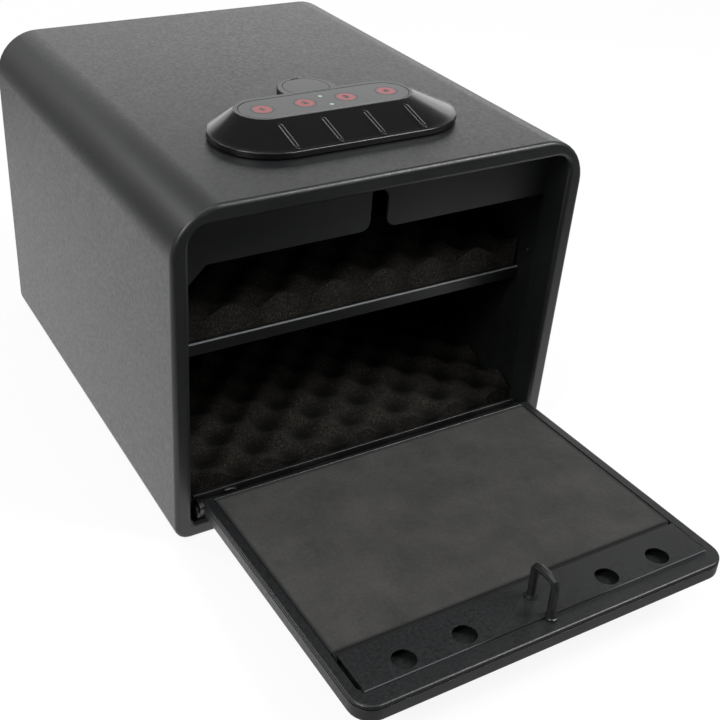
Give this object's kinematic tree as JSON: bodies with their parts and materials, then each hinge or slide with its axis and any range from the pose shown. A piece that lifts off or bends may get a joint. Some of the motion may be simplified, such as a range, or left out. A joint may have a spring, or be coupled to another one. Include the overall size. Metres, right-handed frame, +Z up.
{
  "type": "quick access safe",
  "caption": "Steel box safe with a drop-down front door, a keypad on the roof, a spare key lock and foam-lined compartments above and below a shelf.",
  "frame": {"origin": "centre of the body's footprint, on the surface that it stands on", "axes": "+Z up, -Y out of the front opening, +X to the right seen from the front; stored with the door open"},
  "size_m": [0.26, 0.4766, 0.2199],
  "materials": {
    "powder_coat": "fine satin powder coat, black",
    "zinc_steel": "bright zinc plate",
    "plug_brass": "nickel plated",
    "coil": "wound enamelled wire on a bobbin",
    "board": "green circuit board",
    "black_plastic": "matt black",
    "gloss_black": "glossy black",
    "cap_black": "satin black",
    "face_grey": "satin dark grey film",
    "key_red": "backlit red with a plain number",
    "lamp_green": "clear green lens",
    "rubber_black": "matt black",
    "cell": "plain sleeve",
    "foam": "open cell foam, black",
    "felt": "felt faced pad, dark grey"
  },
  "bodies": {
    "safe_body": {"body_shell": "powder_coat", "back_panel": "powder_coat", "hinge_sill": "powder_coat", "hinge_rod": "zinc_steel", "opening_spring": "zinc_steel", "lock_cover": "powder_coat", "latch_pin": "zinc_steel", "solenoid_frame": "zinc_steel", "solenoid_coil": "coil", "plunger_spring": "zinc_steel", "lock_barrel": "zinc_steel", "lock_nut": "zinc_steel", "control_board": "board", "keypad_cable": "rubber_black", "battery_tray": "black_plastic", "battery_1": "cell", "battery_2": "cell", "battery_3": "cell", "battery_4": "cell", "battery_hatch": "black_plastic", "hatch_screw": "zinc_steel", "keypad_housing": "gloss_black", "keypad_gasket": "rubber_black", "key_board": "board", "key_mat": "rubber_black", "keypad_face": "face_grey", "status_lamp_1": "lamp_green", "status_lamp_2": "lamp_green", "cap_pin": "zinc_steel", "keypad_screw_left": "zinc_steel", "keypad_screw_right": "zinc_steel", "shelf": "powder_coat", "shelf_bracket_left": "powder_coat", "shelf_bracket_right": "powder_coat", "shelf_screw_1": "zinc_steel", "shelf_screw_2": "zinc_steel", "shelf_screw_3": "zinc_steel", "shelf_screw_4": "zinc_steel", "wall_rivet_left": "zinc_steel", "wall_rivet_right": "zinc_steel", "floor_foam": "foam", "shelf_foam": "foam", "back_foam": "foam"},
    "door": {"door_skin": "powder_coat", "door_tray": "powder_coat", "door_liner": "felt", "stiffener_strip": "powder_coat", "striker_loop": "powder_coat"},
    "latch": {"latch_hook": "zinc_steel"},
    "solenoid_plunger": {"plunger": "zinc_steel"},
    "spare_key_plug": {"lock_plug": "plug_brass", "lock_cam": "zinc_steel", "cam_screw": "zinc_steel"},
    "keyhole_flap": {"keyhole_cap": "cap_black"},
    "button_1": {"key_1": "key_red"},
    "button_2": {"key_2": "key_red"},
    "button_3": {"key_3": "key_red"},
    "button_4": {"key_4": "key_red"}
  },
  "joints": [
    {"name": "door_hinge", "type": "hinge", "parent": "safe_body", "child": "door", "pos_m": [0, -0.14665, 0.01595], "axis": [-1, 0, 0], "range_deg": [0, 87.67]},
    {"name": "key_turn", "type": "hinge", "parent": "safe_body", "child": "spare_key_plug", "pos_m": [0, -0.045, 0.19], "axis": [0, 0, -1], "range_deg": [0, 90]},
    {"name": "latch_swing", "type": "hinge", "parent": "safe_body", "child": "latch", "pos_m": [-0.006, -0.086, 0.17905], "axis": [0, 0, 1], "range_deg": [0, 20]},
    {"name": "plunger_slide", "type": "slide", "parent": "safe_body", "child": "solenoid_plunger", "axis": [-1, 0, 0], "range_m": [0, 0.0057]},
    {"name": "flap_hinge", "type": "hinge", "parent": "safe_body", "child": "keyhole_flap", "pos_m": [0, -0.0317, 0.2187], "axis": [-1, 0, 0], "range_deg": [0, 100]},
    {"name": "button_1_press", "type": "slide", "parent": "safe_body", "child": "button_1", "axis": [0, 0, -1], "range_m": [0, 0.0005], "stiffness_N_per_m": 900, "springref_m": -0.0003},
    {"name": "button_2_press", "type": "slide", "parent": "safe_body", "child": "button_2", "axis": [0, 0, -1], "range_m": [0, 0.0005], "stiffness_N_per_m": 900, "springref_m": -0.0003},
    {"name": "button_3_press", "type": "slide", "parent": "safe_body", "child": "button_3", "axis": [0, 0, -1], "range_m": [0, 0.0005], "stiffness_N_per_m": 900, "springref_m": -0.0003},
    {"name": "button_4_press", "type": "slide", "parent": "safe_body", "child": "button_4", "axis": [0, 0, -1], "range_m": [0, 0.0005], "stiffness_N_per_m": 900, "springref_m": -0.0003}
  ],
  "couplings": [
    {"joint": "key_turn", "follows": "latch_swing", "ratio": 4.499},
    {"joint": "plunger_slide", "follows": "latch_swing", "m_per_rad": 0.016155}
  ]
}
